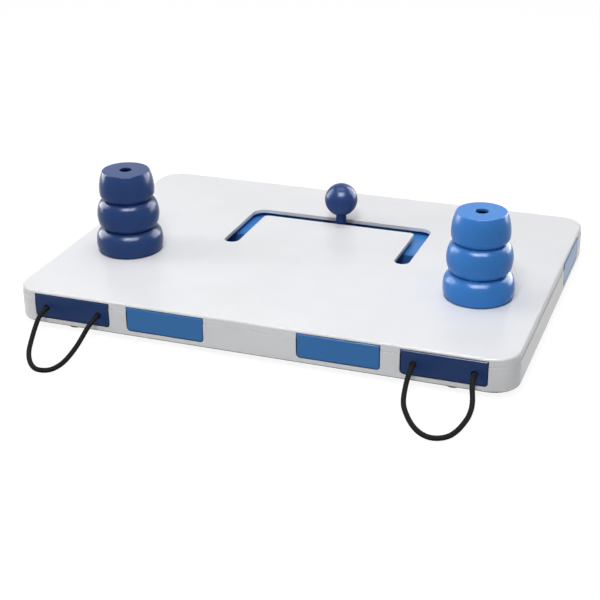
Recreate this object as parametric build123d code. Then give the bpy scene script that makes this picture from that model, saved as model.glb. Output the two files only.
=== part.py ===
from build123d import *
from collections import namedtuple
import math
import os

# A puzzle board that hides treats for a dog. Its front faces -Y, its left is -X,
# +Z is up, and z = 0 is the surface that its feet stand on. All sizes are in mm.

# ---- the board ----
BOARD_LENGTH = 310.0
BOARD_WIDTH = 223.0
CORNER_RADIUS = 16.0
FOOT_STANDOFF = 3.5
TRAY_HEIGHT = 15.6
COVER_HEIGHT = 5.0
TRAY_WALL = 2.6
TRAY_FLOOR = 2.2
TRAY_EDGE_ROUND = 1.2
COVER_STEP = 0.4
SKIRT_WALL = 2.4
DECK_THICKNESS = 2.4
DECK_EDGE_ROUND = 1.3
LAP_HEIGHT = 1.6
LAP_WALL = 1.0

# ---- the drawer openings and the piers of wall beside them ----
OPENING_WIDTH = 50.0
OPENING_ROUND = 2.4
SILL = 1.2
LINTEL = 1.7
CORNER_PIER = 15.1
FRONT_PIER = 11.2
REAR_PIER = 28.0

# ---- clearances ----
FRONT_GAP = 0.4
SLIDE_GAP = 0.3
JOINT_GAP = 0.2
SCREW_GAP = 0.05
PILOT_SPARE = 1.0
# how far a cutter runs past the face that it opens
OVERCUT = 1.0

# ---- the drawers ----
DRAWER_WALL = 1.6
DRAWER_FLOOR = 1.6
DRAWER_FRONT = 2.4
DRAWER_ROUND = 2.0
DRAWER_FRONT_EDGE = 0.5
POCKET_ROUND = 1.6
RIM_BELOW_DECK = 5.0
EAR_REACH = 1.6
EAR_THICKNESS = 3.0
FRONT_POCKET_LENGTH = 32.0
FRONT_DRAWER_STROKE = 29.0
FRONT_DRAWER_RIBS = 3
SIDE_POCKET_LENGTH = 54.0
PLATFORM_THICKNESS = 1.8
PLATFORM_RIBS = 6
PLATFORM_SKIRT = 1.6
# how far the platform's windows reach behind the middle of the slot's back run
WINDOW_REACH = 12.0
SHOULDER = 6.0
STIFFENER = 1.4
STIFFENER_HEIGHT = 4.0
FLOOR_RIBS = 3

# ---- the slot and its knob ----
SLOT_WIDTH = 10.0
SLOT_LEG_OFFSET = 4.3
SLOT_BACK_OFFSET = 3.5
SLOT_OUTER_ROUND = 8.0
SLOT_INNER_ROUND = 3.0
BALL_RADIUS = 11.0
BALL_HEIGHT = 16.0
STEM_RADIUS = 3.5
STEM_FLARE = 1.0
FLANGE_RADIUS = 8.5
FLANGE_THICKNESS = 1.6
PEG_RADIUS = 4.5
PEG_LENGTH = 9.0
FORK_WALL = 1.6

# ---- the cones and the dishes below them ----
CONE_SETBACK = 80.0
CONE_WALL = 1.6
SCENT_HOLE_RADIUS = 4.0
# a bulge's height and radius at its heel, its belly and its shoulder, then the rounds
# of its heel and its shoulder; each heel sinks a little into the shoulder below
Bulge = namedtuple("Bulge", "z_heel r_heel z_belly r_belly z_shoulder r_shoulder heel_round shoulder_round")
CONE_BULGES = [
    Bulge(0.0, 20.2, 8.0, 21.3, 16.2, 18.8, 1.4, 7.5),
    Bulge(15.6, 17.6, 24.2, 19.8, 35.0, 16.5, 5.0, 6.0),
    Bulge(34.5, 16.8, 43.6, 17.4, 53.2, 14.9, 4.4, 0.6),
]
DISH_MOUTH_RADIUS = 15.4
DISH_BOTTOM_RADIUS = 12.5
DISH_DEPTH = 10.4
DISH_WALL = 1.8
DISH_ROUND = 3.0
# from the dish's wall to the rib that the corner drawer closes against
DISH_ROOM = 4.1
SEAT_RING_HEIGHT = 1.8

# ---- the pull loops ----
CORD_RADIUS = 1.5
CORD_HOLE_RADIUS = 1.9
CORD_HOLE_SPACING = 34.6
CORD_HOLE_Z = 13.9
KNOT_RADIUS = 4.0
KNOT_LENGTH = 6.0
KNOT_ROUND = 2.0
CORD_TAIL = 4.0
CORD_BEND_SHARE = 0.45
# free points of each loop between its two holes, with x and y from the middle of
# the drawer's front edge and z from the ground
LEFT_LOOP = [
    (-17.6, -7.5, 13.4), (-18.5, -14.3, 5.4), (-16.1, -23.0, 1.8), (-11.9, -32.5, 1.6), (-6.7, -41.3, 1.6),
    (-1.3, -48.1, 1.6), (4.9, -52.9, 1.6), (12.5, -51.3, 1.6), (15.1, -43.7, 1.6), (14.9, -34.5, 1.6),
    (13.5, -25.0, 1.6), (11.9, -15.0, 2.0), (16.5, -6.1, 13.3),
]
RIGHT_LOOP = [
    (-17.2, -7.5, 13.4), (-17.9, -13.9, 4.8), (-16.1, -23.0, 1.7), (-11.5, -33.0, 1.6), (-6.1, -42.3, 1.6),
    (0.3, -49.9, 1.6), (7.9, -53.5, 1.6), (15.5, -49.7, 1.6), (18.7, -41.7, 1.6), (20.1, -33.0, 1.6),
    (20.9, -24.0, 1.7), (20.5, -14.5, 4.2), (17.5, -7.1, 13.3),
]

# ---- feet and screws ----
FOOT_RADIUS = 6.0
FOOT_TAPER = 0.6
FOOT_POCKET = 0.6
FOOT_INSET_X = 36.5
FOOT_INSET_Y = 11.5
SCREW_RADIUS = 1.45
SCREW_LENGTH = 10.0
SCREW_HEAD_RADIUS = 2.8
SCREW_HEAD_HEIGHT = 2.0
SCREW_HEAD_ROUND = 0.7
SCREW_SEAT = 2.6
SCREW_RECESS = 3.4
POST_RADIUS = 4.2
BOSS_RADIUS = 3.4
KNOB_SCREW_LENGTH = 18.0
# how far the screws stand in from the board's edges
SIDE_SCREW_INSET = 7.0
SIDE_SCREW_SETBACK = 29.5
CORNER_SCREW_INSET = 15.0
REAR_SCREW_INSET = 12.5
MIDDLE_SCREW_SETBACK = 51.5

# ---- levels and places worked out from the sizes above ----
Z_BASE = FOOT_STANDOFF
Z_FLOOR = Z_BASE + TRAY_FLOOR
Z_SILL = Z_FLOOR + SILL
Z_PARTING = Z_BASE + TRAY_HEIGHT
Z_DECK = Z_PARTING + COVER_HEIGHT
Z_UNDER = Z_DECK - DECK_THICKNESS
Z_LINTEL = Z_DECK - LINTEL
Z_DRAWER = Z_SILL + SLIDE_GAP
Z_RIM = Z_DECK - RIM_BELOW_DECK
Z_BALL = Z_DECK + BALL_HEIGHT
Z_FLANGE = Z_RIM + FRONT_GAP
Z_PEG = Z_FLANGE - PEG_LENGTH
Z_SCREW_KNOB = Z_PEG + SCREW_HEAD_HEIGHT + FRONT_GAP
Z_SCREW_SEAT = Z_BASE + SCREW_RECESS
Z_POST = Z_SCREW_SEAT + SCREW_SEAT
Z_GUIDE = Z_RIM - SLIDE_GAP

FRONT_Y = -BOARD_WIDTH / 2
REAR_Y = BOARD_WIDTH / 2
SIDE_X = BOARD_LENGTH / 2
CORNER_DRAWER_X = SIDE_X - CORNER_PIER - OPENING_WIDTH / 2
FRONT_DRAWER_X = CORNER_DRAWER_X - OPENING_WIDTH - FRONT_PIER
SIDE_DRAWER_Y = REAR_Y - REAR_PIER - OPENING_WIDTH / 2
CONE_X = CORNER_DRAWER_X
CONE_Y = FRONT_Y + CONE_SETBACK
SLOT_LEG_X = FRONT_DRAWER_X + SLOT_LEG_OFFSET
SLOT_BACK_Y = SIDE_DRAWER_Y - SLOT_BACK_OFFSET
FOOT_X = SIDE_X - FOOT_INSET_X
FOOT_Y = REAR_Y - FOOT_INSET_Y
SCREW_PLACES = [
    (SIDE_SCREW_INSET - SIDE_X, FRONT_Y + SIDE_SCREW_SETBACK),
    (SIDE_X - SIDE_SCREW_INSET, FRONT_Y + SIDE_SCREW_SETBACK),
    (CORNER_SCREW_INSET - SIDE_X, REAR_Y - REAR_SCREW_INSET),
    (SIDE_X - CORNER_SCREW_INSET, REAR_Y - REAR_SCREW_INSET),
    (0, FRONT_Y + MIDDLE_SCREW_SETBACK),
    (0, REAR_Y - REAR_SCREW_INSET),
]

WALL_ZONE = COVER_STEP + SKIRT_WALL + LAP_WALL
DRAWER_WIDTH = OPENING_WIDTH - 2 * FRONT_GAP
DRAWER_FACE = Z_LINTEL - FRONT_GAP - Z_DRAWER
DRAWER_RIM = Z_RIM - Z_DRAWER
EAR_WIDTH = DRAWER_WIDTH + 2 * EAR_REACH
CORNER_GUIDE_X = EAR_WIDTH / 2 + FRONT_GAP
CORNER_DRAWER_LENGTH = CONE_SETBACK - DISH_MOUTH_RADIUS - DISH_WALL - DISH_ROOM - STIFFENER - SLIDE_GAP
RAIL_SPREAD = DRAWER_WIDTH / 4

# the cross drawer's platform meets a side wall when the knob stands at that end of the slot
PLATFORM_LENGTH = 2 * (SIDE_X - TRAY_WALL - FRONT_GAP - SLOT_LEG_X)
PLATFORM_REACH = DRAWER_WIDTH / 2 + SHOULDER
PLATFORM_FRONT = SIDE_DRAWER_Y - PLATFORM_REACH
PLATFORM_REAR = SIDE_DRAWER_Y + PLATFORM_REACH
PLATFORM_SKIRT_Y = PLATFORM_FRONT + STIFFENER + 2 * SLIDE_GAP
FRONT_DRAWER_REAR = PLATFORM_FRONT - FRONT_GAP
FRONT_DRAWER_LENGTH = FRONT_DRAWER_REAR - FRONT_Y
EAR_STOP_Y = FRONT_DRAWER_REAR - EAR_THICKNESS - FRONT_DRAWER_STROKE - SLIDE_GAP
# at the front end of a leg the knob's peg has pushed the front drawer out by its whole stroke
SLOT_LEG_FRONT_Y = FRONT_DRAWER_REAR - FRONT_DRAWER_STROKE - (SLOT_WIDTH / 2 - PEG_RADIUS)
NOTCH_RADIUS = PEG_RADIUS + SLIDE_GAP
CONE_MOUTH_RADIUS = CONE_BULGES[0].r_heel - CONE_WALL


# ---- small helpers ----
def box(x0, x1, y0, y1, z0, z1):
    """A block between two corners."""
    return Pos((x0 + x1) / 2, (y0 + y1) / 2, (z0 + z1) / 2) * Box(x1 - x0, y1 - y0, z1 - z0)


def rod(x, y, z0, z1, radius):
    """An upright cylinder."""
    return Pos(x, y, (z0 + z1) / 2) * Cylinder(radius, z1 - z0)


def slab(inset, z0, z1):
    """The board's rounded outline, drawn in by inset, between two levels."""
    outline = RectangleRounded(BOARD_LENGTH - 2 * inset, BOARD_WIDTH - 2 * inset, CORNER_RADIUS - inset)
    return extrude(Pos(0, 0, z0) * outline, z1 - z0)


def ring(outer_inset, inner_inset, z0, z1):
    """A wall that follows the board's outline."""
    return slab(outer_inset, z0, z1) - slab(inner_inset, z0, z1)


def bin_section(width, height, radius):
    """An upright rectangle on its base line, with rounded lower corners."""
    section = Rectangle(width, height, align=(Align.CENTER, Align.MIN))
    return fillet(section.vertices().group_by(Axis.Y)[0], radius)


def run_back(section, y0, y1, z):
    """Extrude a section from y0 back to y1, with its base line at level z."""
    plane = Plane(origin=(0, y1, z), x_dir=(1, 0, 0), z_dir=(0, -1, 0))
    return extrude(plane * section, y1 - y0)


def both_sides(shape):
    """A shape and its mirror image across the board's middle."""
    return shape + mirror(shape, Plane.YZ)


# ---- cuts shared by tray and cover ----
def drawer_openings():
    """The four openings in the front wall and one in each side wall."""
    section = bin_section(OPENING_WIDTH, Z_LINTEL - Z_SILL, OPENING_ROUND)
    opening = run_back(section, -WALL_ZONE, WALL_ZONE, Z_SILL)
    cuts = Part()
    for x in (-CORNER_DRAWER_X, -FRONT_DRAWER_X, FRONT_DRAWER_X, CORNER_DRAWER_X):
        cuts += Pos(x, FRONT_Y, 0) * opening
    for side in (-1, 1):
        cuts += Pos(side * SIDE_X, SIDE_DRAWER_Y, 0) * Rot(0, 0, side * 90) * opening
    return cuts


# ---- top cover ----
def slot_outline():
    """The U of the slot: a back run and two legs with round front ends."""
    half = SLOT_WIDTH / 2
    back = SLOT_BACK_Y + half
    leg_start = SLOT_LEG_FRONT_Y + half
    outer = Pos(0, leg_start) * Rectangle(
        2 * SLOT_LEG_X + SLOT_WIDTH, back - leg_start, align=(Align.CENTER, Align.MIN))
    outer = fillet(outer.vertices().group_by(Axis.Y)[-1], SLOT_OUTER_ROUND)
    panel = Pos(0, leg_start) * Rectangle(
        2 * SLOT_LEG_X - SLOT_WIDTH, back - leg_start - SLOT_WIDTH, align=(Align.CENTER, Align.MIN))
    panel = fillet(panel.vertices().group_by(Axis.Y)[-1], SLOT_INNER_ROUND)
    ends = [Pos(side * SLOT_LEG_X, leg_start) * Circle(half) for side in (-1, 1)]
    return outer - panel + ends


def top_cover():
    """The white cover: deck, short skirt, slot and a round hole for each treat dish."""
    cover = slab(COVER_STEP, Z_PARTING, Z_DECK)
    cover = fillet(cover.faces().sort_by(Axis.Z)[-1].edges(), DECK_EDGE_ROUND)
    cover -= slab(COVER_STEP + SKIRT_WALL, Z_PARTING, Z_UNDER)
    lap_inset = TRAY_WALL - LAP_WALL - JOINT_GAP
    cover -= slab(lap_inset, Z_PARTING, Z_PARTING + LAP_HEIGHT + JOINT_GAP)
    for side in (-1, 1):
        cover -= rod(side * CONE_X, CONE_Y, Z_PARTING, Z_DECK, DISH_MOUTH_RADIUS + DISH_WALL + JOINT_GAP)
    cover -= both_sides(panel_channel())
    cover -= extrude(Pos(0, 0, Z_UNDER - OVERCUT) * slot_outline(), DECK_THICKNESS + 2 * OVERCUT)
    return cover - drawer_openings()


def panel_channel():
    """The channel under the deck for the cross drawer's tall front when it slides inward."""
    inner = SIDE_X - DRAWER_FRONT - SLOT_LEG_X - FRONT_GAP
    outer = SIDE_X - COVER_STEP - SKIRT_WALL
    half = OPENING_WIDTH / 2
    return box(inner, outer, SIDE_DRAWER_Y - half, SIDE_DRAWER_Y + half, Z_PARTING, Z_LINTEL)


def cover_ribs():
    """Hold-down ribs under the deck, just above the side walls of the front drawers."""
    ribs = []
    lowest = Z_RIM + SLIDE_GAP
    front = FRONT_Y + WALL_ZONE
    for drawer_x in (-FRONT_DRAWER_X, FRONT_DRAWER_X):
        for side in (-1, 1):
            x = drawer_x + side * (DRAWER_WIDTH - DRAWER_WALL) / 2
            ribs.append(box(x - STIFFENER / 2, x + STIFFENER / 2, front, EAR_STOP_Y, lowest, Z_UNDER))
    return Compound(children=ribs)


# ---- treat dishes ----
def bowl(growth):
    """The bowl of a treat dish, grown outward by its wall or not at all."""
    mouth = DISH_MOUTH_RADIUS + growth
    bottom = DISH_BOTTOM_RADIUS + growth
    depth = DISH_DEPTH + growth
    top = SEAT_RING_HEIGHT
    profile = Polyline((0, top), (mouth, top), (mouth, 0), (bottom, -depth), (0, -depth), close=True)
    solid = revolve(make_face(Plane.XZ * profile), Axis.Z)
    rim = solid.edges().filter_by(GeomType.CIRCLE).sort_by(Axis.Z)[0]
    return fillet(rim, DISH_ROUND + growth)


def treat_dish(x):
    """A dish that hangs in its hole by a flange, which also keeps the cone in its place."""
    flange = Pos(0, 0, SEAT_RING_HEIGHT / 2) * Cylinder(CONE_MOUTH_RADIUS - FRONT_GAP, SEAT_RING_HEIGHT)
    return Pos(x, CONE_Y, Z_DECK) * (bowl(DISH_WALL) + flange - bowl(0))


# ---- base tray ----
def base_tray():
    """The white tray: floor, walls with a lap joint, drawer rails and recesses for screws and feet."""
    tray = slab(0, Z_BASE, Z_PARTING)
    tray = fillet(tray.faces().sort_by(Axis.Z)[0].edges(), TRAY_EDGE_ROUND)
    tray -= slab(TRAY_WALL, Z_FLOOR, Z_PARTING)
    tray += ring(TRAY_WALL - LAP_WALL, TRAY_WALL, Z_PARTING, Z_PARTING + LAP_HEIGHT)
    tray += drawer_rails()
    for x, y in SCREW_PLACES:
        tray -= rod(x, y, Z_BASE, Z_FLOOR, SCREW_HEAD_RADIUS + FRONT_GAP)
    for x, y in foot_places():
        tray -= rod(x, y, Z_BASE, Z_BASE + FOOT_POCKET, FOOT_RADIUS + JOINT_GAP)
    return tray - drawer_openings()


def drawer_rails():
    """Two rails below each drawer, level with the sills."""
    rails = Part()
    inner = FRONT_Y + TRAY_WALL
    drawers = ((CORNER_DRAWER_X, FRONT_Y + CORNER_DRAWER_LENGTH), (FRONT_DRAWER_X, FRONT_DRAWER_REAR))
    for side in (-1, 1):
        for offset in (-RAIL_SPREAD, RAIL_SPREAD):
            for x, rear in drawers:
                middle = side * x + offset
                rails += box(middle - STIFFENER, middle + STIFFENER, inner, rear, Z_FLOOR, Z_SILL)
    reach = SIDE_X - TRAY_WALL
    for offset in (-RAIL_SPREAD, RAIL_SPREAD):
        y = SIDE_DRAWER_Y + offset
        rails += box(-reach, reach, y - STIFFENER, y + STIFFENER, Z_FLOOR, Z_SILL)
    return rails


# ---- ribs and posts on the tray's floor ----
def lengthways_rib(x, y0, y1, top):
    """A rib along Y with its middle plane at x."""
    return box(x - STIFFENER / 2, x + STIFFENER / 2, y0, y1, Z_FLOOR, top)


def drawer_guides(side):
    """The ribs that keep one side's drawers straight and end their strokes."""
    front = FRONT_Y + WALL_ZONE
    rear = FRONT_Y + CORNER_DRAWER_LENGTH + SLIDE_GAP
    ribs = []
    for edge in (-1, 1):
        x = side * FRONT_DRAWER_X + edge * (OPENING_WIDTH + STIFFENER) / 2
        ribs.append(lengthways_rib(x, front, EAR_STOP_Y, Z_GUIDE))
        x = side * CORNER_DRAWER_X + edge * (CORNER_GUIDE_X + STIFFENER / 2)
        ribs.append(lengthways_rib(x, front, rear, Z_GUIDE))
    x = side * CORNER_DRAWER_X
    reach = CORNER_GUIDE_X + STIFFENER
    ribs.append(box(x - reach, x + reach, rear, rear + STIFFENER, Z_FLOOR, Z_GUIDE))
    return ribs


def dish_supports(side):
    """A cross of low ribs below a treat dish, in three pieces."""
    top = Z_DECK - DISH_DEPTH - DISH_WALL - SLIDE_GAP
    front = FRONT_Y + CORNER_DRAWER_LENGTH + SLIDE_GAP + STIFFENER
    half = STIFFENER / 2
    x = side * CONE_X
    inner = x - CORNER_GUIDE_X
    outer = x + CORNER_GUIDE_X
    return [
        lengthways_rib(x, front, PLATFORM_FRONT, top),
        box(inner, x - half, CONE_Y - half, CONE_Y + half, Z_FLOOR, top),
        box(x + half, outer, CONE_Y - half, CONE_Y + half, Z_FLOOR, top),
    ]


def floor_lattice():
    """Ribs that stiffen the floor between the front drawers."""
    reach = FRONT_DRAWER_X - OPENING_WIDTH / 2 - STIFFENER
    ribs = []
    y = FRONT_Y + TRAY_WALL
    pitch = (EAR_STOP_Y - y) / FLOOR_RIBS
    for _ in range(FLOOR_RIBS):
        for x in (-reach / 2, reach / 2):
            ribs.append(lengthways_rib(x, y, y + pitch - STIFFENER, Z_GUIDE))
        y += pitch
        ribs.append(box(-reach, reach, y - STIFFENER, y, Z_FLOOR, Z_GUIDE))
    for x in (-reach / 2, reach / 2):
        ribs.append(lengthways_rib(x, y, PLATFORM_FRONT + SLIDE_GAP, Z_PEG - SLIDE_GAP))
    return ribs


def platform_stops():
    """The low rib that the platform runs over in front, and the tall one behind it."""
    front = PLATFORM_FRONT + SLIDE_GAP
    rear = PLATFORM_REAR + FRONT_GAP
    half = PLATFORM_LENGTH / 2
    reach = SIDE_X - TRAY_WALL
    return [
        box(-half, half, front, front + STIFFENER, Z_FLOOR, Z_PEG - SLIDE_GAP),
        box(-reach, reach, rear, rear + STIFFENER, Z_FLOOR, Z_GUIDE),
    ]


def tray_ribs():
    """Every rib that stands on the tray's floor."""
    ribs = floor_lattice() + platform_stops()
    for side in (-1, 1):
        ribs += drawer_guides(side) + dish_supports(side)
    return Compound(children=ribs)


def screw_posts():
    """Tubes on the floor that take the screw heads from below and the cover's bosses from above."""
    posts = []
    for x, y in SCREW_PLACES:
        post = rod(x, y, Z_FLOOR, Z_POST, POST_RADIUS)
        post -= rod(x, y, Z_FLOOR, Z_SCREW_SEAT, SCREW_HEAD_RADIUS + FRONT_GAP)
        posts.append(post - rod(x, y, Z_SCREW_SEAT, Z_POST, SCREW_RADIUS + SLIDE_GAP))
    return Compound(children=posts)


def screw_bosses():
    """Bosses under the deck with a pilot hole for each screw."""
    bosses = []
    for x, y in SCREW_PLACES:
        boss = rod(x, y, Z_POST, Z_UNDER, BOSS_RADIUS)
        bosses.append(boss - rod(x, y, Z_POST, Z_UNDER - PILOT_SPARE, SCREW_RADIUS + SCREW_GAP))
    return Compound(children=bosses)


# ---- feet and screws ----
def foot_places():
    """The four feet, left to right and front to rear."""
    return [(x, y) for y in (-FOOT_Y, FOOT_Y) for x in (-FOOT_X, FOOT_X)]


def foot(x, y):
    """A rubber foot, glued into its shallow pocket, a little narrower at the ground."""
    height = Z_BASE + FOOT_POCKET
    profile = Polyline(
        (0, 0), (FOOT_RADIUS - FOOT_TAPER, 0), (FOOT_RADIUS, FOOT_TAPER), (FOOT_RADIUS, height), (0, height),
        close=True)
    return Pos(x, y, 0) * revolve(make_face(Plane.XZ * profile), Axis.Z)


def screw(x, y, z_seat, length):
    """A pan-head screw, driven upward, with its head below z_seat."""
    head = rod(x, y, z_seat - SCREW_HEAD_HEIGHT, z_seat, SCREW_HEAD_RADIUS)
    head = fillet(head.faces().sort_by(Axis.Z)[0].edges(), SCREW_HEAD_ROUND)
    return head + rod(x, y, z_seat, z_seat + length, SCREW_RADIUS)


def cover_screws():
    """The screws that close the tray and the cover from below."""
    return Compound(children=[screw(x, y, Z_SCREW_SEAT, SCREW_LENGTH) for x, y in SCREW_PLACES])


# ---- drawers ----
def drawer_bin(length, rear_wall):
    """An open bin whose tall front panel lies at y = 0 and which runs back to length."""
    shell = run_back(bin_section(DRAWER_WIDTH, DRAWER_RIM, DRAWER_ROUND), 0, length, Z_DRAWER)
    inside = bin_section(DRAWER_WIDTH - 2 * DRAWER_WALL, DRAWER_RIM, POCKET_ROUND)
    shell -= run_back(inside, DRAWER_FRONT, length - rear_wall, Z_DRAWER + DRAWER_FLOOR)
    panel = run_back(bin_section(DRAWER_WIDTH, DRAWER_FACE, DRAWER_ROUND), 0, DRAWER_FRONT, Z_DRAWER)
    panel = chamfer(panel.faces().sort_by(Axis.Y)[0].edges(), DRAWER_FRONT_EDGE)
    trimmed = shell - box(-DRAWER_WIDTH, DRAWER_WIDTH, 0, DRAWER_FRONT, 0, Z_DECK)
    return trimmed + panel


def ears(length):
    """The two stops that stand out beside a drawer's rear end."""
    reach = EAR_WIDTH / 2
    return box(-reach, reach, length - EAR_THICKNESS, length, Z_DRAWER + DRAWER_ROUND, Z_RIM)


def corner_drawer(x):
    """A dark drawer with two holes in its front for the cord."""
    drawer = drawer_bin(CORNER_DRAWER_LENGTH, EAR_THICKNESS) + ears(CORNER_DRAWER_LENGTH)
    for offset in (-CORD_HOLE_SPACING / 2, CORD_HOLE_SPACING / 2):
        hole = Cylinder(CORD_HOLE_RADIUS, 2 * DRAWER_FRONT)
        drawer -= Pos(offset, DRAWER_FRONT / 2, CORD_HOLE_Z) * Rot(90, 0, 0) * hole
    return Pos(x, FRONT_Y, 0) * drawer


def front_drawer(x):
    """A light drawer: treat pocket in front, push wall for the knob's peg at the rear."""
    drawer = drawer_bin(FRONT_DRAWER_LENGTH, EAR_THICKNESS) + ears(FRONT_DRAWER_LENGTH)
    reach = DRAWER_WIDTH / 2 - DRAWER_WALL / 2
    rear = DRAWER_FRONT + FRONT_POCKET_LENGTH
    low = Z_DRAWER + DRAWER_FLOOR / 2
    drawer += box(-reach, reach, rear, rear + DRAWER_WALL, low, Z_RIM)
    behind = FRONT_DRAWER_LENGTH - rear
    for index in range(1, FRONT_DRAWER_RIBS + 1):
        y = rear + behind * index / (FRONT_DRAWER_RIBS + 1)
        drawer += box(-reach, reach, y, y + STIFFENER, low, Z_DRAWER + STIFFENER_HEIGHT)
    return Pos(x, FRONT_Y, 0) * drawer


def notch(growth, z0, z1):
    """The fork's slot for the peg, open to the front."""
    radius = NOTCH_RADIUS + growth
    straight = box(-radius, radius, PLATFORM_FRONT - growth, SLOT_BACK_Y, z0, z1)
    return straight + rod(0, SLOT_BACK_Y, z0, z1, radius)


def platform_windows():
    """Windows in the platform's plate behind and below the slot's back run, between the middle ribs."""
    pitch = PLATFORM_LENGTH / PLATFORM_RIBS
    windows = []
    for bay in (-1, 0, 1):
        x0 = (bay - 0.5) * pitch + STIFFENER
        x1 = (bay + 0.5) * pitch - STIFFENER
        y0 = SLOT_BACK_Y - SLOT_WIDTH / 2
        windows.append(box(x0, x1, y0, SLOT_BACK_Y + WINDOW_REACH, Z_RIM - PLATFORM_THICKNESS, Z_RIM))
    return windows


def platform():
    """The middle of the cross drawer: a plate on skirts with the fork for the peg."""
    half = PLATFORM_LENGTH / 2
    plate = box(-half, half, PLATFORM_FRONT, PLATFORM_REAR, Z_RIM - PLATFORM_THICKNESS, Z_RIM)
    plate -= platform_windows()
    skirt = box(-half, half, PLATFORM_SKIRT_Y, PLATFORM_REAR, Z_DRAWER, Z_RIM)
    skirt -= box(
        -half + PLATFORM_SKIRT, half - PLATFORM_SKIRT, PLATFORM_SKIRT_Y + PLATFORM_SKIRT,
        PLATFORM_REAR - PLATFORM_SKIRT, Z_DRAWER, Z_RIM)
    body = plate + skirt
    for index in range(PLATFORM_RIBS):
        x = half * (2 * index + 1 - PLATFORM_RIBS) / PLATFORM_RIBS
        body += box(
            x - STIFFENER / 2, x + STIFFENER / 2, PLATFORM_SKIRT_Y, PLATFORM_REAR, Z_DRAWER,
            Z_RIM - PLATFORM_THICKNESS)
    fork = notch(FORK_WALL, Z_DRAWER, Z_RIM)
    fork &= box(-half, half, PLATFORM_SKIRT_Y, PLATFORM_REAR, Z_DRAWER, Z_RIM)
    return body + fork - notch(0, Z_DRAWER - OVERCUT, Z_RIM + OVERCUT)


def cross_drawer():
    """The light drawer across the board, with a treat pocket at each end."""
    drawer = platform()
    pocket = drawer_bin(SIDE_POCKET_LENGTH, DRAWER_WALL)
    link_start = SIDE_POCKET_LENGTH - DRAWER_WALL
    link_end = SIDE_X - PLATFORM_LENGTH / 2 + PLATFORM_SKIRT
    link = run_back(bin_section(DRAWER_WIDTH, DRAWER_RIM, DRAWER_ROUND), link_start, link_end, Z_DRAWER)
    hollow = Rectangle(
        DRAWER_WIDTH - 2 * DRAWER_WALL, DRAWER_RIM - PLATFORM_THICKNESS, align=(Align.CENTER, Align.MIN))
    link -= run_back(hollow, link_start, link_end, Z_DRAWER)
    for side in (-1, 1):
        drawer += Pos(side * SIDE_X, SIDE_DRAWER_Y, 0) * Rot(0, 0, side * 90) * pocket
        drawer += Pos(side * SIDE_X, SIDE_DRAWER_Y, 0) * Rot(0, 0, side * 90) * link
    return drawer


# ---- knob ----
def ball_knob():
    """A ball on a stem that passes through the slot, with a pilot hole for its screw."""
    z_bottom = Z_FLANGE + FLANGE_THICKNESS
    ball = Pos(0, 0, Z_BALL) * Sphere(BALL_RADIUS)
    stem = rod(0, 0, z_bottom, Z_BALL, STEM_RADIUS)
    knob = ball + stem
    rings = knob.edges().filter_by(GeomType.CIRCLE)
    thin_rings = rings.filter_by(lambda edge: edge.radius < STEM_RADIUS + JOINT_GAP)
    knob = fillet(thin_rings.sort_by(Axis.Z)[-1], STEM_FLARE)
    pilot_top = Z_SCREW_KNOB + KNOB_SCREW_LENGTH + PILOT_SPARE
    knob -= rod(0, 0, z_bottom, pilot_top, SCREW_RADIUS + SCREW_GAP)
    return Pos(0, SLOT_BACK_Y, 0) * knob


def knob_slider():
    """The flange below the deck, with the peg that drives the drawers."""
    slider = rod(0, 0, Z_FLANGE, Z_FLANGE + FLANGE_THICKNESS, FLANGE_RADIUS)
    slider = chamfer(slider.edges().group_by(Axis.Z)[-1], FRONT_GAP)
    slider += rod(0, 0, Z_PEG, Z_FLANGE, PEG_RADIUS)
    slider -= rod(0, 0, Z_PEG, Z_SCREW_KNOB, SCREW_HEAD_RADIUS + JOINT_GAP)
    slider -= rod(0, 0, Z_PEG, Z_UNDER, SCREW_RADIUS + SLIDE_GAP)
    return Pos(0, SLOT_BACK_Y, 0) * slider


# ---- cones ----
def bulge_solid(bulge, inset=0):
    """A bellied solid with flat ends and rounded edges, drawn in by inset but not at the ground."""
    bottom = bulge.z_heel + inset if bulge.z_heel else 0
    top = bulge.z_shoulder - inset
    side = ThreePointArc(
        (bulge.r_heel - inset, bottom), (bulge.r_belly - inset, bulge.z_belly), (bulge.r_shoulder - inset, top))
    outline = [Line((0, bottom), side @ 0), side, Line(side @ 1, (0, top)), Line((0, top), (0, bottom))]
    solid = revolve(Plane.XZ * make_face(outline), Axis.Z)
    for end, edge_round in ((-1, bulge.shoulder_round), (0, bulge.heel_round)):
        if edge_round > inset:
            flat = solid.faces().filter_by(GeomType.PLANE).sort_by(Axis.Z)[end]
            solid = fillet(flat.edges(), edge_round - inset)
    return solid


def cone_inside():
    """The hollow: each bulge drawn in by the wall, with a neck through each heel."""
    inside = Part() + [bulge_solid(bulge, CONE_WALL) for bulge in CONE_BULGES]
    for lower, upper in zip(CONE_BULGES, CONE_BULGES[1:]):
        z0 = lower.z_shoulder - 2 * CONE_WALL
        z1 = upper.z_heel + 2 * CONE_WALL
        inside += rod(0, 0, z0, z1, upper.r_heel - upper.heel_round)
    return inside


def cone(x):
    """A hollow cone of three bulges, open below, with a scent hole in its top."""
    outside = Part() + [bulge_solid(bulge) for bulge in CONE_BULGES]
    scent_hole = rod(0, 0, 0, CONE_BULGES[-1].z_shoulder + OVERCUT, SCENT_HOLE_RADIUS)
    return Pos(x, CONE_Y, Z_DECK) * (outside - cone_inside() - scent_hole)


# ---- pull loops ----
def loop_route(drawer_x, free_points):
    """A loop's whole route, from the knot behind one hole to the knot behind the other."""
    y_knot = FRONT_Y + DRAWER_FRONT + SLIDE_GAP
    half = CORD_HOLE_SPACING / 2
    free = [(drawer_x + x, FRONT_Y + y, z) for x, y, z in free_points]
    return [(drawer_x - half, y_knot, CORD_HOLE_Z)] + free + [(drawer_x + half, y_knot, CORD_HOLE_Z)]


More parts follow.
